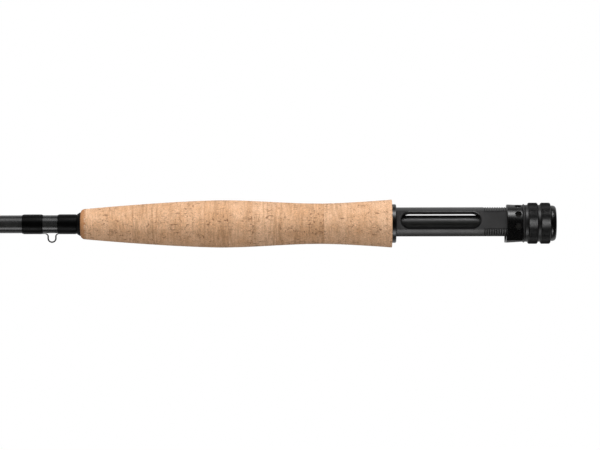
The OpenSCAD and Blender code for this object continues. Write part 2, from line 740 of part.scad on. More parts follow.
module tip_ring_wrap() {
    s1 = tube_end_s - tip_tube_len - ring_play;
    s0 = s1 - tip_wrap_len;
    color(thread_black) thread_wrap(blank_r(3, s0) + glue_gap, tip_wrap_t, s0, s1);
}

// ---- nodes ----

butt_cap();
lock_ring(rear_ring_s);  // lock_ring_rear
lock_ring(front_ring_s);  // lock_ring_front
thrust_washer();
sliding_hood();
seat_barrel();
core_tube();
fixed_hood();
for (i = [1:cork_count]) cork_ring(i);
nose_ring();
winding_check();
blank_section(0);  // butt_blank
hook_keeper();
keeper_wraps();
blank_section(1);  // lower_mid_blank
blank_section(2);  // upper_mid_blank
blank_section(3);  // tip_blank
socket_wrap(1);  // lower_mid_socket_wrap
socket_wrap(2);  // upper_mid_socket_wrap
socket_wrap(3);  // tip_socket_wrap
for (n = [1:2]) stripping_guide(n);
for (n = [1:2]) guide_insert(n);
for (n = [3:guide_count])
    snake_guide(n);
for (n = [1:guide_count]) guide_wraps(n);
tip_tube();
tip_ring();
tip_ring_wrap();
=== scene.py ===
import json
import math

import bmesh
import bpy
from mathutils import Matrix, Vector, noise


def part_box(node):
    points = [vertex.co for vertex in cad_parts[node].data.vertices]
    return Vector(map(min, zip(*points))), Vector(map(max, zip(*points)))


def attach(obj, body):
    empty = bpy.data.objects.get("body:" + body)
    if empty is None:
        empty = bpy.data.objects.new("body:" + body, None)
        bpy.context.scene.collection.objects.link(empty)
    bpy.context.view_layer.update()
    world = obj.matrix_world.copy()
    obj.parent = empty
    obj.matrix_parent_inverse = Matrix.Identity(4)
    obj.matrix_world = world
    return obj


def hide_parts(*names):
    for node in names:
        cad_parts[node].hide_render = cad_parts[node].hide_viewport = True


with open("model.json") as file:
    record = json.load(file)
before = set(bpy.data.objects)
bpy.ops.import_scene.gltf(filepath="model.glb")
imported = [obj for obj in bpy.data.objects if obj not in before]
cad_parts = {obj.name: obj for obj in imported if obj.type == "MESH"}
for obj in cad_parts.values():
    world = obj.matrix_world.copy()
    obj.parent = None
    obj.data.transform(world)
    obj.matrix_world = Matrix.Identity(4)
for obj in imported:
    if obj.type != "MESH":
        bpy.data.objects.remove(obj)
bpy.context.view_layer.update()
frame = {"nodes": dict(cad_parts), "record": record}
nodes = frame["nodes"]
scene = bpy.context.scene
scene.view_settings.view_transform = "Standard"
bodyOf = {node: body for body, members in frame["record"]["behaviour"]["bodies"].items() for node in members}
slotOf = {part["node"]: part["material_slot"] for part in frame["record"]["subparts"]}
print("rod loaded:", len(nodes), "nodes")

# The rod lies along X with its butt at 0 and its tip towards -X. Sizes are in metres.

# ---- studio ----

studioCamera = {
    "x": -0.1356, "z": -0.00066, "distance": 1.65, "lens": 186.7, "sensor": 36, "reach": 200, "roll": 0.12,
}


def placeCamera(settings):
    data = bpy.data.cameras.new("studioCamera")
    data.lens = settings["lens"]
    data.sensor_width = settings["sensor"]
    data.clip_end = settings["reach"]
    camera = bpy.data.objects.new("studioCamera", data)
    camera.location = (settings["x"], -settings["distance"], settings["z"])
    camera.rotation_euler = (math.radians(90), math.radians(settings["roll"]), 0)
    scene.collection.objects.link(camera)
    scene.camera = camera


# strips in front of the rod, above and below it, that only its gloss sees: wide and soft, with bright cores
glossLights = {
    "upperStrip": {
        "elevation": 63, "distance": 0.9, "centre": -0.42, "length": 1.75, "width": 0.6, "radiance": 1.15,
    },
    "upperCore": {
        "elevation": 63, "distance": 0.86, "centre": 0.03, "length": 0.3, "width": 0.2, "radiance": 4.2,
    },
    "lowerStrip": {
        "elevation": -57, "distance": 0.9, "centre": -0.58, "length": 1.4, "width": 0.5, "radiance": 1.0,
    },
    "lowerCore": {
        "elevation": -57, "distance": 0.86, "centre": -0.58, "length": 1.4, "width": 0.2, "radiance": 1.5,
    },
}

# soft suns that light colour and give no reflection; strength is what a white surface facing them would show
colourLights = {
    "key": {"elevation": 68, "strength": 0.78, "spread": 35, "colour": (1.0, 1.0, 1.0)},
    "fill": {"elevation": -6, "strength": 0.25, "spread": 60, "colour": (1.0, 0.92, 0.78)},
}


def placeGlossLight(name, settings):
    area = settings["length"] * settings["width"]
    data = bpy.data.lights.new(name, "AREA")
    data.shape = "RECTANGLE"
    data.size = settings["length"]
    data.size_y = settings["width"]
    data.energy = settings["radiance"] * area * math.pi
    up = math.radians(settings["elevation"])
    lamp = bpy.data.objects.new(name, data)
    distance = settings["distance"]
    lamp.location = (settings["centre"], -distance * math.cos(up), distance * math.sin(up))
    lamp.rotation_euler = (math.pi / 2 - up, 0, 0)
    lamp.visible_camera = False
    lamp.visible_diffuse = False
    scene.collection.objects.link(lamp)


def placeColourLight(name, settings):
    data = bpy.data.lights.new(name, "SUN")
    data.energy = settings["strength"] * math.pi
    data.color = settings["colour"]
    data.angle = math.radians(settings["spread"])
    lamp = bpy.data.objects.new(name, data)
    lamp.rotation_euler = (math.pi / 2 - math.radians(settings["elevation"]), 0, 0)
    lamp.visible_glossy = False
    scene.collection.objects.link(lamp)


# ---- node helpers ----


def feed(tree, socket, value):
    if isinstance(value, bpy.types.NodeSocket):
        tree.links.new(value, socket)
    else:
        socket.default_value = value


def addNode(tree, kind, inputs=None, **options):
    node = tree.nodes.new(kind)
    for name, value in options.items():
        setattr(node, name, value)
    for key, value in (inputs or {}).items():
        feed(tree, node.inputs[key], value)
    return node


def calc(tree, operation, first, second=0.0):
    return addNode(tree, "ShaderNodeMath", {0: first, 1: second}, operation=operation).outputs[0]


def weighted(tree, *terms):
    # the sum of values, each times its weight
    total, *others = [calc(tree, "MULTIPLY", value, weight) for value, weight in terms]
    for term in others:
        total = calc(tree, "ADD", total, term)
    return total


def remap(tree, value, low, high, newLow=0.0, newHigh=1.0, curve="LINEAR"):
    limits = {"Value": value, "From Min": low, "From Max": high, "To Min": newLow, "To Max": newHigh}
    return addNode(tree, "ShaderNodeMapRange", limits, interpolation_type=curve).outputs[0]


def mixColours(tree, factor, first, second, mode="MIX"):
    node = addNode(tree, "ShaderNodeMix", data_type="RGBA", blend_type=mode)
    for index, value in ((0, factor), (6, first), (7, second)):
        feed(tree, node.inputs[index], (*value, 1.0) if isinstance(value, tuple) else value)
    return node.outputs[2]


def stretched(tree, vector, scale, shift=(0.0, 0.0, 0.0)):
    node = addNode(tree, "ShaderNodeMapping", {"Vector": vector, "Scale": scale, "Location": shift})
    return node.outputs[0]


def noiseField(tree, vector, scale, detail=2.0, roughness=0.5, distortion=0.0):
    inputs = {"Vector": vector, "Scale": scale, "Detail": detail, "Roughness": roughness}
    return addNode(tree, "ShaderNodeTexNoise", {**inputs, "Distortion": distortion}).outputs[0]


def noiseLayer(tree, place, layer):
    # a noise from its dictionary; a scale of three numbers stretches it along the rod or round it
    scale, detail, rough = layer["scale"], layer.get("detail", 2.0), layer.get("rough", 0.5)
    if isinstance(scale, tuple):
        place = stretched(tree, place, scale, layer.get("shift", (0.0, 0.0, 0.0)))
        scale = 1.0
    return noiseField(tree, place, scale, detail, rough, layer.get("bend", 0.0))


def maskOf(tree, value, layer):
    # rises from 0 to the layer's most where the value goes from one of its limits to the other
    return remap(tree, value, layer["from"], layer["to"], 0.0, layer.get("most", 1.0), "SMOOTHSTEP")


def noiseMask(tree, place, layer):
    return maskOf(tree, noiseLayer(tree, place, layer), layer)


def alongRod(tree, place):
    return addNode(tree, "ShaderNodeSeparateXYZ", {0: place}).outputs["X"]


def fromAxis(tree, place):
    # the place's parts, and its distance from the rod's axis
    parts = addNode(tree, "ShaderNodeSeparateXYZ", {0: place}).outputs
    squares = [calc(tree, "MULTIPLY", parts[side], parts[side]) for side in ("Y", "Z")]
    return parts, calc(tree, "SQRT", calc(tree, "ADD", *squares))


# white behind the rod and dark in front of it, as the rod's gloss sees it
surroundings = {"front": 0.006, "back": 0.55, "turnsAt": 0.0, "whiteAt": 0.7, "forColour": 0.365}


def placeWorld(settings):
    world = bpy.data.worlds.new("studio")
    scene.world = world
    world.use_nodes = True
    tree = world.node_tree
    tree.nodes.clear()
    direction = addNode(tree, "ShaderNodeTexCoord").outputs["Generated"]
    along = addNode(tree, "ShaderNodeSeparateXYZ", {0: direction}).outputs["Y"]
    level = remap(tree, along, settings["turnsAt"], settings["whiteAt"], settings["front"], settings["back"],
                  "SMOOTHSTEP")
    ray = addNode(tree, "ShaderNodeLightPath")
    forColour = ray.outputs["Is Diffuse Ray"]
    level = remap(tree, forColour, 0.0, 1.0, level, settings["forColour"])
    strength = calc(tree, "MAXIMUM", level, ray.outputs["Is Camera Ray"])
    shader = addNode(tree, "ShaderNodeBackground", {"Color": (1, 1, 1, 1), "Strength": strength})
    output = addNode(tree, "ShaderNodeOutputWorld")
    tree.links.new(shader.outputs[0], output.inputs[0])


# near the rod the floor shows the shadow, further off it turns into plain white
studioFloor = {"z": -0.14, "half": 60.0, "albedo": 0.75, "glow": 0.2, "near": 0.12, "far": 0.3}


def makeFloorPaint(settings):
    material = bpy.data.materials.new("paleFloor")
    material.use_nodes = True
    tree = material.node_tree
    tree.nodes.clear()
    place = addNode(tree, "ShaderNodeTexCoord").outputs["Object"]
    across = calc(tree, "ABSOLUTE", addNode(tree, "ShaderNodeSeparateXYZ", {0: place}).outputs["Y"])
    seen = addNode(tree, "ShaderNodeLightPath").outputs["Is Camera Ray"]
    paint = addNode(tree, "ShaderNodeBsdfDiffuse", {"Color": (*[settings["albedo"]] * 3, 1)})
    glow = calc(tree, "MULTIPLY", seen, settings["glow"])
    lift = addNode(tree, "ShaderNodeEmission", {"Color": (1, 1, 1, 1), "Strength": glow})
    near = addNode(tree, "ShaderNodeAddShader", {0: paint.outputs[0], 1: lift.outputs[0]})
    white = addNode(tree, "ShaderNodeEmission", {"Color": (1, 1, 1, 1), "Strength": 1.0})
    away = remap(tree, across, settings["near"], settings["far"], 0.0, 1.0, "SMOOTHSTEP")
    share = calc(tree, "MULTIPLY", away, seen)
    mixed = addNode(tree, "ShaderNodeMixShader", {0: share, 1: near.outputs[0], 2: white.outputs[0]})
    output = addNode(tree, "ShaderNodeOutputMaterial")
    tree.links.new(mixed.outputs[0], output.inputs[0])
    return material


def placeFloor(settings):
    sheet = bmesh.new()
    bmesh.ops.create_grid(sheet, x_segments=1, y_segments=1, size=settings["half"])
    bmesh.ops.translate(sheet, vec=(0, 0, settings["z"]), verts=sheet.verts)
    mesh = bpy.data.meshes.new("studioFloor")
    sheet.to_mesh(mesh)
    sheet.free()
    mesh.materials.append(makeFloorPaint(settings))
    floor = bpy.data.objects.new("studioFloor", mesh)
    scene.collection.objects.link(floor)
    floor.visible_shadow = False      # the lower strip shines up through it
    floor.visible_diffuse = False
    floor.visible_glossy = False


placeCamera(studioCamera)
for name, settings in glossLights.items():
    placeGlossLight(name, settings)
for name, settings in colourLights.items():
    placeColourLight(name, settings)
placeWorld(surroundings)
placeFloor(studioFloor)
print("studio ready")

# ---- shared surface effects ----


def startGroup(name, numbers, output):
    # takes a vector and the numbers named, and gives one number
    tree = bpy.data.node_groups.new(name, "ShaderNodeTree")
    tree.interface.new_socket(name="Vector", in_out="INPUT", socket_type="NodeSocketVector")
    for label in numbers:
        tree.interface.new_socket(name=label, in_out="INPUT", socket_type="NodeSocketFloat")
    tree.interface.new_socket(name=output, in_out="OUTPUT", socket_type="NodeSocketFloat")
    given = addNode(tree, "NodeGroupInput").outputs
    return tree, given, addNode(tree, "NodeGroupOutput").inputs[output]


handlingLook = {
    "detail": 3.0, "rough": 0.55, "fineScale": 14.0, "fineRough": 0.6, "fineShare": 0.3,
    "from": 0.32, "to": 0.68,
}


def makeHandlingSheen(look):
    # soft patches where fingers and cloth have changed the sheen
    tree, given, sheen = startGroup("handlingSheen", ("Size", "Low", "High"), "Sheen")
    broad = noiseField(tree, given["Vector"], given["Size"], look["detail"], look["rough"])
    fineSize = calc(tree, "MULTIPLY", given["Size"], look["fineScale"])
    fine = noiseField(tree, given["Vector"], fineSize, roughness=look["fineRough"])
    patches = weighted(tree, (broad, 1 - look["fineShare"]), (fine, look["fineShare"]))
    feed(tree, sheen, remap(tree, maskOf(tree, patches, look), 0.0, 1.0, given["Low"], given["High"]))
    return tree


latheLook = {"round": 40.0, "detail": 3.0, "rough": 0.65}


def makeLatheRings(look):
    # fine rings round the axis left by turning, or by wound thread
    tree, given, height = startGroup("latheRings", ("Rings",), "Height")
    parts = addNode(tree, "ShaderNodeSeparateXYZ", {0: given["Vector"]}).outputs
    scaled = {0: calc(tree, "MULTIPLY", parts["X"], given["Rings"]),
              1: calc(tree, "MULTIPLY", parts["Y"], look["round"]),
              2: calc(tree, "MULTIPLY", parts["Z"], look["round"])}
    point = addNode(tree, "ShaderNodeCombineXYZ", scaled).outputs[0]
    feed(tree, height, noiseField(tree, point, 1.0, look["detail"], look["rough"]))
    return tree


handlingSheen = makeHandlingSheen(handlingLook)
latheRings = makeLatheRings(latheLook)


def patchySheen(tree, place, size, span):
    inputs = {"Vector": place, "Size": size, "Low": span[0], "High": span[1]}
    return addNode(tree, "ShaderNodeGroup", inputs, node_tree=handlingSheen).outputs[0]


def ringedHeight(tree, place, rings):
    inputs = {"Vector": place, "Rings": rings}
    return addNode(tree, "ShaderNodeGroup", inputs, node_tree=latheRings).outputs[0]


usualShine = 0.5      # the shader's own specular level


def startFinish(name, look):
    material = bpy.data.materials.new(name)
    material.use_nodes = True
    tree = material.node_tree
    tree.nodes.clear()
    shader = addNode(tree, "ShaderNodeBsdfPrincipled", {"IOR": look["ior"]})
    output = addNode(tree, "ShaderNodeOutputMaterial")
    tree.links.new(shader.outputs[0], output.inputs[0])
    place = addNode(tree, "ShaderNodeTexCoord").outputs["Object"]
    return material, tree, shader.inputs, place


def addBump(tree, sockets, height, distance, strength=1.0):
    bump = addNode(tree, "ShaderNodeBump", {"Height": height, "Distance": distance, "Strength": strength})
    feed(tree, sockets["Normal"], bump.outputs[0])


# ---- metal, carbon, thread and rubber ----

darkFinishes = {
    "anodised_black": {
        "dark": (0.0004, 0.0004, 0.0005), "light": (0.0016, 0.0016, 0.0017), "ior": 1.95,
        "rough": (0.25, 0.34), "patch": 70.0, "rings": 9000.0, "relief": 0.0000015,
    },
    "anodised_barrel": {
        "dark": (0.018, 0.018, 0.0193), "light": (0.029, 0.029, 0.0305), "ior": 1.8,
        "rough": (0.34, 0.42), "patch": 55.0, "rings": 7000.0, "relief": 0.000003,
    },
    "washer_acetal": {
        "dark": (0.014, 0.014, 0.015), "light": (0.022, 0.022, 0.023), "ior": 1.55,
        "rough": (0.36, 0.46), "patch": 120.0, "rings": 5000.0, "relief": 0.000004,
    },
    "rubber_black": {
        "dark": (0.001, 0.001, 0.001), "light": (0.003, 0.0028, 0.0028), "ior": 1.3,
        "rough": (0.45, 0.6), "patch": 200.0, "rings": 3000.0, "relief": 0.000006,
    },
}
sheenPatches = {"scale": 1.7, "shift": (0.3, 0.1, 0.2)}      # so that they lie elsewhere than the colour's

# the lock rings, from just ahead of them to just behind, with their teeth in the outermost half millimetre
frontRing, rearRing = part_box("lock_ring_front"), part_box("lock_ring_rear")
knurl = {
    "front": frontRing[0].x - 0.0004, "back": rearRing[1].x + 0.0001, "leastRadius": frontRing[1].z - 0.0005,
    "bandRough": 0.05, "shoulderRough": 0.15,
    "slantFrom": 0.2, "slantTo": 0.55, "slantRough": 0.4, "slantShine": 0.2,
}


def knurlWear(tree, place, sheen):
    parts, radius = fromAxis(tree, place)
    onRings = calc(tree, "MULTIPLY", calc(tree, "GREATER_THAN", parts["X"], knurl["front"]),
                   calc(tree, "LESS_THAN", parts["X"], knurl["back"]))
    onBand = calc(tree, "MULTIPLY", calc(tree, "GREATER_THAN", radius, knurl["leastRadius"]), onRings)
    onShoulder = calc(tree, "SUBTRACT", onRings, onBand)

    # teeth seen at a slant hide each other and look duller; the slant is the whole ring's, not one tooth's
    outward = addNode(tree, "ShaderNodeCombineXYZ", {"X": 0.0, "Y": parts["Y"], "Z": parts["Z"]}).outputs[0]
    outward = addNode(tree, "ShaderNodeVectorMath", {0: outward}, operation="NORMALIZE").outputs[0]
    outward = addNode(tree, "ShaderNodeVectorTransform", {0: outward}, vector_type="NORMAL",
                      convert_from="OBJECT", convert_to="WORLD").outputs[0]
    facing = addNode(tree, "ShaderNodeLayerWeight", {"Normal": outward}).outputs["Facing"]
    slant = calc(tree, "MULTIPLY", remap(tree, facing, knurl["slantFrom"], knurl["slantTo"]), onBand)
    sheen = weighted(tree, (sheen, 1.0), (onBand, knurl["bandRough"]), (slant, knurl["slantRough"]),
                     (onShoulder, knurl["shoulderRough"]))
    return sheen, remap(tree, slant, 0.0, 1.0, usualShine, knurl["slantShine"])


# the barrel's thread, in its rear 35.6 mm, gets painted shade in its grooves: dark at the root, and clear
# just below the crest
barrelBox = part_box("seat_barrel")
paintedThreadShade = {
    "front": barrelBox[1].x - 0.0356, "root": barrelBox[1].z - 0.00032, "crest": barrelBox[1].z - 0.00003,
    "margin": 0.0001, "colour": (0.001, 0.001, 0.001),
}


# painted shade in the thread's grooves, darker towards the root
def paintedGrooveShade(tree, place):
    parts, radius = fromAxis(tree, place)
    deep = remap(tree, radius, paintedThreadShade["root"], paintedThreadShade["crest"], 1.0, 0.0)
    outside = calc(tree, "GREATER_THAN", radius, paintedThreadShade["root"] - paintedThreadShade["margin"])
    onThread = calc(tree, "GREATER_THAN", parts["X"], paintedThreadShade["front"])
    return calc(tree, "MULTIPLY", calc(tree, "MULTIPLY", deep, outside), onThread)


def makeDarkFinish(name, look):
    material, tree, sockets, place = startFinish(name, look)
    shade = patchySheen(tree, place, look["patch"], (0.0, 1.0))
    colour = mixColours(tree, shade, look["dark"], look["light"])
    shifted = stretched(tree, place, (1, 1, 1), sheenPatches["shift"])
    sheen = patchySheen(tree, shifted, look["patch"] * sheenPatches["scale"], look["rough"])
    if name == "anodised_barrel":
        # painted shade darkens the thread's grooves
        colour = mixColours(tree, paintedGrooveShade(tree, place), colour, paintedThreadShade["colour"])
    if name == "anodised_black":
        sheen, shine = knurlWear(tree, place, sheen)
        feed(tree, sockets["Specular IOR Level"], shine)
    feed(tree, sockets["Base Color"], colour)
    feed(tree, sockets["Roughness"], sheen)
    addBump(tree, sockets, ringedHeight(tree, place, look["rings"]), look["relief"])
    return material


carbonLook = {
    "dark": (0.009, 0.0095, 0.010), "light": (0.023, 0.024, 0.025), "shadeFrom": 0.35, "shadeTo": 0.65,
    "rough": (0.24, 0.34), "patch": 90.0, "ior": 1.6, "coat": 0.5, "coatRough": 0.2,
    "fibres": {"scale": (40, 2600, 2600), "detail": 4.0, "rough": 0.6},
    "patches": {"scale": 260.0, "detail": 3.0, "rough": 0.6}, "patchShare": 0.5,
    "tapeRings": 900.0, "peel": {"scale": 700.0}, "fibreRelief": 0.4, "peelRelief": 2.2, "relief": 0.000012,
}

# the core tube's carbon is bare, with a soft sheen, where the blank's is lacquered; its colour is also
# darkened halfway to black, painted shade inside the barrel
tubeSatin = {
    "front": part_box("core_tube")[0].x, "rough": 0.14, "shine": 1.0,
    # painted shade: how far the core tube's colour is darkened, and towards what
    "shade": 0.5, "paintedShadeColour": (0.0, 0.0, 0.0),
}


def makeCarbon(name, look):
    material, tree, sockets, place = startFinish(name, look)
    onTube = calc(tree, "GREATER_THAN", alongRod(tree, place), tubeSatin["front"])
    fibres = noiseLayer(tree, place, look["fibres"])
    patches = noiseLayer(tree, place, look["patches"])
    shade = weighted(tree, (fibres, 1 - look["patchShare"]), (patches, look["patchShare"]))
    shade = remap(tree, shade, look["shadeFrom"], look["shadeTo"])
    colour = mixColours(tree, shade, look["dark"], look["light"])
    # painted shade: the core tube inside the barrel is darkened halfway to black
    paintedTubeShade = calc(tree, "MULTIPLY", onTube, tubeSatin["shade"])
    feed(tree, sockets["Base Color"], mixColours(tree, paintedTubeShade, colour, tubeSatin["paintedShadeColour"]))
    sheen = patchySheen(tree, place, look["patch"], look["rough"])
    feed(tree, sockets["Roughness"], weighted(tree, (sheen, 1.0), (onTube, tubeSatin["rough"])))
    feed(tree, sockets["Specular IOR Level"], remap(tree, onTube, 0.0, 1.0, usualShine, tubeSatin["shine"]))
    feed(tree, sockets["Coat Weight"], remap(tree, onTube, 0.0, 1.0, look["coat"], 0.0))
    sockets["Coat Roughness"].default_value = look["coatRough"]
    # under the gloss the wound carbon's tape shows as slow rings, and the lacquer has a slight orange peel
    tape = ringedHeight(tree, place, look["tapeRings"])
    peel = noiseLayer(tree, place, look["peel"])
    relief = weighted(tree, (tape, 1.0), (fibres, look["fibreRelief"]), (peel, look["peelRelief"]))
    addBump(tree, sockets, relief, look["relief"])
    return material


threadLook = {
    "dark": (0.0003, 0.0003, 0.0003), "light": (0.0014, 0.0014, 0.0015), "shadeFrom": 0.2, "shadeTo": 0.8,
    "rough": (0.3, 0.42), "patch": 150.0, "ior": 1.24,
    "pitch": 0.00016, "strandRings": 2200.0, "windingShade": 0.2, "windingRelief": 0.35, "relief": 0.000008,
}


def makeThread(name, look):
    material, tree, sockets, place = startFinish(name, look)
    turns = calc(tree, "MULTIPLY", alongRod(tree, place), 2 * math.pi / look["pitch"])
    winding = calc(tree, "SINE", turns)
    strand = ringedHeight(tree, place, look["strandRings"])
    shade = weighted(tree, (winding, look["windingShade"]), (strand, 1.0))
    shade = remap(tree, shade, look["shadeFrom"], look["shadeTo"])
    feed(tree, sockets["Base Color"], mixColours(tree, shade, look["dark"], look["light"]))
    feed(tree, sockets["Roughness"], patchySheen(tree, place, look["patch"], look["rough"]))
    addBump(tree, sockets, weighted(tree, (winding, look["windingRelief"]), (strand, 1.0)), look["relief"])
    return material


wireLook = {
    "dark": (0.002, 0.002, 0.0022), "light": (0.004, 0.004, 0.0044), "shadePatch": 300.0,
    "rough": (0.26, 0.38), "patch": 500.0, "ior": 1.3,
    "grain": {"scale": 9000.0, "detail": 3.0}, "relief": 0.000002,
}


def makeWire(name, look):
    material, tree, sockets, place = startFinish(name, look)
    shade = patchySheen(tree, place, look["shadePatch"], (0.0, 1.0))
    feed(tree, sockets["Base Color"], mixColours(tree, shade, look["light"], look["dark"]))
    feed(tree, sockets["Roughness"], patchySheen(tree, place, look["patch"], look["rough"]))
    addBump(tree, sockets, noiseLayer(tree, place, look["grain"]), look["relief"])
    return material


ceramicLook = {
    "dark": (0.02, 0.02, 0.022), "light": (0.04, 0.04, 0.043),
    "cloud": {"scale": 1800.0, "detail": 3.0, "rough": 0.6},
    "rough": (0.08, 0.16), "patch": 400.0, "ior": 1.9, "grain": {"scale": 5000.0}, "relief": 0.000001,
}


def makeCeramic(name, look):
    material, tree, sockets, place = startFinish(name, look)
    shade = noiseLayer(tree, place, look["cloud"])
    feed(tree, sockets["Base Color"], mixColours(tree, shade, look["dark"], look["light"]))
    feed(tree, sockets["Roughness"], patchySheen(tree, place, look["patch"], look["rough"]))
    addBump(tree, sockets, noiseLayer(tree, place, look["grain"]), look["relief"])
    return material


# ---- cork ----

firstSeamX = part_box("cork_ring_1")[0].x
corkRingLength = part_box("cork_ring_2")[1].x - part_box("cork_ring_2")[0].x

corkLook = {
    "pale": (0.82, 0.525, 0.337), "warm": (0.69, 0.402, 0.227), "warmFrom": 0.3, "warmTo": 0.68,
    "cloud": {"scale": 150.0, "detail": 3.0, "rough": 0.6}, "ringTone": 0.25,
    "streak": (0.45, 0.25, 0.13), "leastStreaky": 0.35, "streakyFrom": 0.2, "streakyTo": 0.8,
    "broadStreaks": {
        "scale": (330, 34, 34), "detail": 5.0, "rough": 0.68, "bend": 0.6,
        "from": 0.46, "to": 0.72, "most": 0.95,
    },
    "fineStreaks": {
        "scale": (900, 85, 85), "detail": 3.0, "rough": 0.62, "bend": 0.4,
        "from": 0.44, "to": 0.68, "most": 0.72,
    },
    "grain": {"scale": 1500.0, "detail": 3.0, "rough": 0.75},
    "grainFrom": 0.3, "grainTo": 0.7, "grainShade": (0.7, 1.28),
    "hole": (0.21, 0.095, 0.042), "holeShade": 0.8,
    "pits": {"scale": (900, 800, 800), "rough": 0.55, "from": 0.6, "to": 0.68},
    "pitPatches": {"scale": 95.0, "from": 0.46, "to": 0.62},
    "pores": {"scale": (300, 1000, 1000), "from": 0.59, "to": 0.66, "most": 0.9},
    "porePatches": {"scale": (90, 150, 150), "shift": (3.1, 0.0, 1.7), "from": 0.5, "to": 0.62},
    "cracks": {"scale": (110, 480, 480), "detail": 3.0, "bend": 1.0}, "crackWidth": 0.022,
    "crackPatches": {"scale": 160.0, "from": 0.56, "to": 0.66},
    "seam": (0.45, 0.25, 0.13), "seamShade": 0.3, "seamFrom": 0.004, "seamTo": 0.02,
    "rough": (0.72, 0.95), "ior": 1.45,
    "grainRelief": 0.2, "streakRelief": 0.1, "holeRelief": -0.6, "relief": 0.00025, "reliefStrength": 0.8,
}


def corkHoles(tree, place, look):
    # pits gather in patches, longer pores and cracks run along the grip
    ridge = calc(tree, "ABSOLUTE", calc(tree, "SUBTRACT", noiseLayer(tree, place, look["cracks"]), 0.5))
    crack = remap(tree, ridge, 0.0, look["crackWidth"], 1.0, 0.0, "SMOOTHSTEP")
    pit, pore = noiseMask(tree, place, look["pits"]), noiseMask(tree, place, look["pores"])
    hole = 0.0
    for mask, patches in ((pit, "pitPatches"), (pore, "porePatches"), (crack, "crackPatches")):
        patchy = calc(tree, "MULTIPLY", mask, noiseMask(tree, place, look[patches]))
        hole = calc(tree, "MAXIMUM", hole, patchy)
    return hole


def makeCork(name, look):
    material, tree, sockets, place = startFinish(name, look)
    position = calc(tree, "DIVIDE", calc(tree, "SUBTRACT", firstSeamX, alongRod(tree, place)), corkRingLength)

    # each ring is cut from its own piece of cork
    ring = calc(tree, "FLOOR", position)
    chance = addNode(tree, "ShaderNodeTexWhiteNoise", {"W": ring}, noise_dimensions="1D")
    tone, drift = chance.outputs["Value"], chance.outputs["Color"]
    own = addNode(tree, "ShaderNodeVectorMath", {0: place, 1: drift}, operation="ADD").outputs[0]
    cloud = noiseLayer(tree, own, look["cloud"])
    warmth = weighted(tree, (cloud, 1 - look["ringTone"]), (tone, look["ringTone"]))
    warmth = remap(tree, warmth, look["warmFrom"], look["warmTo"])
    colour = mixColours(tree, warmth, look["pale"], look["warm"])

    # streaks run round the grip, stronger in some rings than in others
    broadStreaks = noiseLayer(tree, own, look["broadStreaks"])
    streaky = remap(tree, drift, look["streakyFrom"], look["streakyTo"], look["leastStreaky"], 1.0)
    broadMask = maskOf(tree, broadStreaks, look["broadStreaks"])
    fineMask = noiseMask(tree, own, look["fineStreaks"])
    for mask in (broadMask, fineMask):
        colour = mixColours(tree, calc(tree, "MULTIPLY", mask, streaky), colour, look["streak"])
    grain = noiseLayer(tree, own, look["grain"])
    shade = remap(tree, grain, look["grainFrom"], look["grainTo"], *look["grainShade"])
    grey = addNode(tree, "ShaderNodeCombineColor", {0: shade, 1: shade, 2: shade}).outputs[0]
    colour = mixColours(tree, 1.0, colour, grey, "MULTIPLY")
    hole = corkHoles(tree, own, look)
    colour = mixColours(tree, calc(tree, "MULTIPLY", hole, look["holeShade"]), colour, look["hole"])

    # the glue line at each seam, by the distance to the nearest one in rings
    toSeam = calc(tree, "FRACT", calc(tree, "ADD", position, 0.5))
    toSeam = calc(tree, "ABSOLUTE", calc(tree, "SUBTRACT", toSeam, 0.5))
    seam = remap(tree, toSeam, look["seamFrom"], look["seamTo"], look["seamShade"], 0.0, "SMOOTHSTEP")
    feed(tree, sockets["Base Color"], mixColours(tree, seam, colour, look["seam"]))
    feed(tree, sockets["Roughness"], remap(tree, grain, look["grainFrom"], look["grainTo"], *look["rough"]))
    relief = weighted(tree, (grain, look["grainRelief"]), (broadStreaks, look["streakRelief"]),
                      (hole, look["holeRelief"]))
    addBump(tree, sockets, relief, look["relief"], look["reliefStrength"])
    return material


burlLook = {
    "base": (0.49, 0.238, 0.108), "pale": (0.54, 0.275, 0.134), "dark": (0.42, 0.197, 0.088),
    "crumbs": 1500.0, "paleCrumbs": (0.55, 0.8), "darkCrumbs": (0.35, 0.15),
    "grain": {"scale": 2600.0, "detail": 3.0, "rough": 0.65}, "darkGrain": (0.35, 0.75, 0.0, 0.35),
    "speck": (0.8, 0.66, 0.52), "specks": {"scale": 1300.0, "rough": 0.6, "from": 0.46, "to": 0.56},
    "seamX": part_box("nose_ring")[1].x, "seamFrom": 0.00054, "seamTo": 0.0009, "seamShade": 0.5,
    "rough": (0.7, 0.9), "grainFrom": 0.3, "grainTo": 0.7, "ior": 1.38,
    "crumbRelief": -0.3, "grainRelief": 0.3, "relief": 0.00015, "reliefStrength": 0.7,
}


def makeBurl(name, look):
    material, tree, sockets, place = startFinish(name, look)
    crumbs = addNode(tree, "ShaderNodeTexVoronoi", {"Vector": place, "Scale": look["crumbs"]}).outputs
    tone = addNode(tree, "ShaderNodeSeparateColor", {0: crumbs["Color"]}).outputs[0]
    colour = mixColours(tree, remap(tree, tone, *look["paleCrumbs"]), look["base"], look["pale"])
    colour = mixColours(tree, remap(tree, tone, *look["darkCrumbs"]), colour, look["dark"])
    grain = noiseLayer(tree, place, look["grain"])
    colour = mixColours(tree, remap(tree, grain, *look["darkGrain"]), colour, look["dark"])

    # pale specks of glue along the ring's seam with the cork
    toSeam = calc(tree, "SUBTRACT", look["seamX"], alongRod(tree, place))
    nearSeam = remap(tree, toSeam, look["seamFrom"], look["seamTo"], look["seamShade"], 0.0)
    glue = calc(tree, "MULTIPLY", noiseMask(tree, place, look["specks"]), nearSeam)
    feed(tree, sockets["Base Color"], mixColours(tree, glue, colour, look["speck"]))
    feed(tree, sockets["Roughness"], remap(tree, grain, look["grainFrom"], look["grainTo"], *look["rough"]))
    relief = weighted(tree, (crumbs["Distance"], look["crumbRelief"]), (grain, look["grainRelief"]))
    addBump(tree, sockets, relief, look["relief"], look["reliefStrength"])
    return material


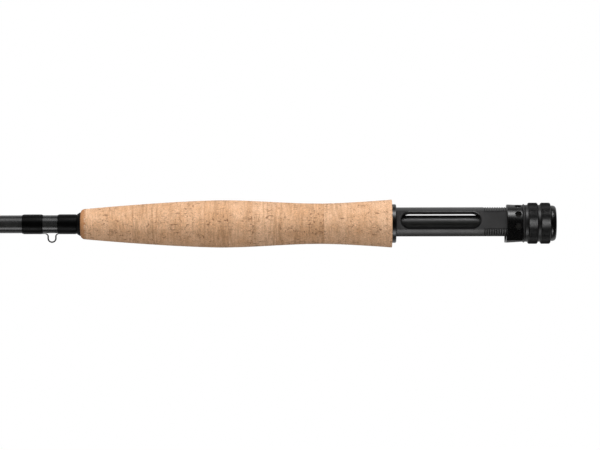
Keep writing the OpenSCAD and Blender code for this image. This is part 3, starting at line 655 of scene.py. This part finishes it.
finishes = {name: makeDarkFinish(name, look) for name, look in darkFinishes.items()}
finishes["carbon"] = makeCarbon("carbon", carbonLook)
finishes["thread_epoxy"] = makeThread("thread_epoxy", threadLook)
finishes["guide_wire"] = makeWire("guide_wire", wireLook)
finishes["guide_ceramic"] = makeCeramic("guide_ceramic", ceramicLook)
finishes["cork"] = makeCork("cork", corkLook)
finishes["cork_composite"] = makeBurl("cork_composite", burlLook)
print("finishes ready:", len(finishes))

# ---- pieces ----


def finishPiece(piece, nodeName):
    piece.data.materials.clear()
    piece.data.materials.append(finishes[slotOf[nodeName]])
    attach(piece, bodyOf[nodeName])
    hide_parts(nodeName)


def pieceFrom(bm, pieceName, sharpAngle):
    # edges stay sharp where their faces meet at a wider angle than this
    limit = math.radians(sharpAngle)
    for face in bm.faces:
        face.smooth = True
    for edge in bm.edges:
        edge.smooth = edge.calc_face_angle(0) < limit
    mesh = bpy.data.meshes.new(pieceName)
    bm.to_mesh(mesh)
    bm.free()
    carried = mesh.attributes.get("custom_normal")      # the loose triangles' flat normals
    if carried:
        mesh.attributes.remove(carried)
    piece = bpy.data.objects.new(pieceName, mesh)
    scene.collection.objects.link(piece)
    return piece


mergeDistance = {"copied": 0.0000005, "turned": 0.000001}


def mergedMesh(nodeName):
    bm = bmesh.new()
    bm.from_mesh(nodes[nodeName].data)
    bmesh.ops.remove_doubles(bm, verts=bm.verts, dist=mergeDistance["copied"])
    return bm


def mergedCopy(nodeName, pieceName, sharpAngle):
    finishPiece(pieceFrom(mergedMesh(nodeName), pieceName, sharpAngle), nodeName)


# pieces whose form is already right: piece name, and the angle above which an edge stays sharp
smoothPieces = {
    "butt_cap": ("buttCap", 40), "thrust_washer": ("thrustWasher", 25), "sliding_hood": ("slidingHood", 30),
    "seat_barrel": ("seatBarrel", 25), "core_tube": ("coreTube", 40), "fixed_hood": ("fixedHood", 35),
    "winding_check": ("windingCheck", 40), "keeper_wraps": ("keeperWraps", 35),
    "butt_blank": ("buttBlank", 40), "lower_mid_blank": ("lowerMidBlank", 40),
    "upper_mid_blank": ("upperMidBlank", 40), "tip_blank": ("tipBlank", 40),
    "lower_mid_socket_wrap": ("lowerMidSocketWrap", 35), "upper_mid_socket_wrap": ("upperMidSocketWrap", 35),
    "tip_socket_wrap": ("tipSocketWrap", 35),
    "stripping_guide_1": ("lowerStrippingGuide", 40), "stripping_guide_2": ("upperStrippingGuide", 40),
    "guide_insert_1": ("lowerGuideInsert", 50), "guide_insert_2": ("upperGuideInsert", 50),
    "tip_tube": ("tipTube", 40), "tip_ring": ("tipRing", 60), "tip_ring_wrap": ("tipRingWrap", 35),
    "lock_ring_rear": ("rearLockRing", 12), "lock_ring_front": ("frontLockRing", 12),
}
smoothPieces.update({f"guide_wraps_{count}": (f"guideWraps{count}", 35) for count in range(1, 12)})
smoothPieces.update({f"snake_guide_{count}": (f"snakeGuide{count}", 75) for count in range(1, 10)})
for nodeName, (pieceName, sharpAngle) in smoothPieces.items():
    mergedCopy(nodeName, pieceName, sharpAngle)

# the keeper's wire is lacquered: the coat starts just below the wraps and grows to its full thickness
keeperCoat = {"startZ": -0.0053, "fullZ": -0.0061, "thickness": 0.0001}


def coatedKeeper(nodeName, pieceName, sharpAngle):
    bm = mergedMesh(nodeName)
    bm.normal_update()
    coated = []
    for vertex in bm.verts:
        share = (keeperCoat["startZ"] - vertex.co.z) / (keeperCoat["startZ"] - keeperCoat["fullZ"])
        coated.append(vertex.co + vertex.normal * keeperCoat["thickness"] * min(max(share, 0.0), 1.0))
    for vertex, place in zip(bm.verts, coated):
        vertex.co = place
    finishPiece(pieceFrom(bm, pieceName, sharpAngle), nodeName)


coatedKeeper("hook_keeper", "hookKeeper", 50)
print("smooth pieces done")

# ---- grip ----

corkRing = {
    "count": 13, "steps": 176, "row": 0.0004, "leastRows": 4, "seamChamfer": 0.00012, "boreGap": 0.0002,
    "wall": 0.001, "sharpAngle": 35,
}
corkPits = {
    "depth": 0.00022, "patchScale": 85, "poreAlong": 1250, "poreAcross": 700, "from": 0.28, "span": 0.16,
    "patchShare": 0.12, "seedStep": 7.3,
}
boreShare = 0.96      # a radius below this share of the one beside it is a bore's


def outerProfile(nodeNames):
    # widest radius at each station along the turned nodes, without the stations that only their bores have
    widest = {}
    for nodeName in nodeNames:
        for vertex in nodes[nodeName].data.vertices:
            station = round(vertex.co.x, 6)
            widest[station] = max(widest.get(station, 0.0), math.hypot(vertex.co.y, vertex.co.z))
    stations = sorted(widest)
    outer = []
    for index, station in enumerate(stations):
        beside = [widest[stations[k]] for k in (index - 1, index + 1) if 0 <= k < len(stations)]
        if widest[station] > boreShare * max(beside):
            outer.append((station, widest[station]))
    return outer


gripProfile = outerProfile([f"cork_ring_{count}" for count in range(1, corkRing["count"] + 1)])


def gripRadius(x):
    # between the stations on both sides of x
    for (backX, backRadius), (frontX, frontRadius) in zip(gripProfile, gripProfile[1:]):
        if x <= frontX:
            break
    return backRadius + (frontRadius - backRadius) * (x - backX) / (frontX - backX)


def turn(outline, steps):
    # spins a closed outline of (x, radius) points round the rod's axis
    bm = bmesh.new()
    corners = [bm.verts.new((x, 0, radius)) for x, radius in outline]
    edges = [bm.edges.new((corners[k - 1], corners[k])) for k in range(len(corners))]
    bmesh.ops.spin(bm, geom=corners + edges, cent=(0, 0, 0), axis=(1, 0, 0), dvec=(0, 0, 0),
                   angle=2 * math.pi, steps=steps, use_merge=True, use_duplicate=False)
    bmesh.ops.remove_doubles(bm, verts=bm.verts, dist=mergeDistance["turned"])
    bmesh.ops.recalc_face_normals(bm, faces=bm.faces)
    return bm


def pitAt(spot, seed):
    # how deep the cork is pitted here, from 0 to 1
    scale, along, across = corkPits["patchScale"], corkPits["poreAlong"], corkPits["poreAcross"]
    patch = noise.noise(Vector((spot.x * scale + seed, spot.y * scale, spot.z * scale)))
    pore = noise.noise(Vector((spot.x * along + seed, spot.y * across, spot.z * across)))
    depth = (pore - corkPits["from"] + corkPits["patchShare"] * patch) / corkPits["span"]
    return max(0.0, min(1.0, depth))


def makeCorkRing(nodeName, pieceName, seed):
    low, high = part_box(nodeName)
    bore = min(math.hypot(v.co.y, v.co.z) for v in nodes[nodeName].data.vertices) + corkRing["boreGap"]
    chamfer = corkRing["seamChamfer"]
    rows = max(corkRing["leastRows"], round((high.x - low.x) / corkRing["row"]))
    outline = [(low.x, bore), (low.x, gripRadius(low.x) - chamfer)]
    for k in range(rows + 1):
        x = low.x + chamfer + (high.x - low.x - 2 * chamfer) * k / rows
        outline.append((x, gripRadius(x)))
    outline += [(high.x, gripRadius(high.x) - chamfer), (high.x, bore)]
    bm = turn(outline, corkRing["steps"])
    for vertex in bm.verts:
        radius = math.hypot(vertex.co.y, vertex.co.z)
        inside = low.x + chamfer / 2 < vertex.co.x < high.x - chamfer / 2
        if inside and radius > bore + corkRing["wall"]:
            deep = corkPits["depth"] * pitAt(vertex.co, seed)
            vertex.co.y *= 1 - deep / radius
            vertex.co.z *= 1 - deep / radius
    finishPiece(pieceFrom(bm, pieceName, corkRing["sharpAngle"]), nodeName)


for count in range(1, corkRing["count"] + 1):
    makeCorkRing(f"cork_ring_{count}", f"corkRing{count}", corkPits["seedStep"] * count)
mergedCopy("nose_ring", "noseRing", 30)
print("grip done")
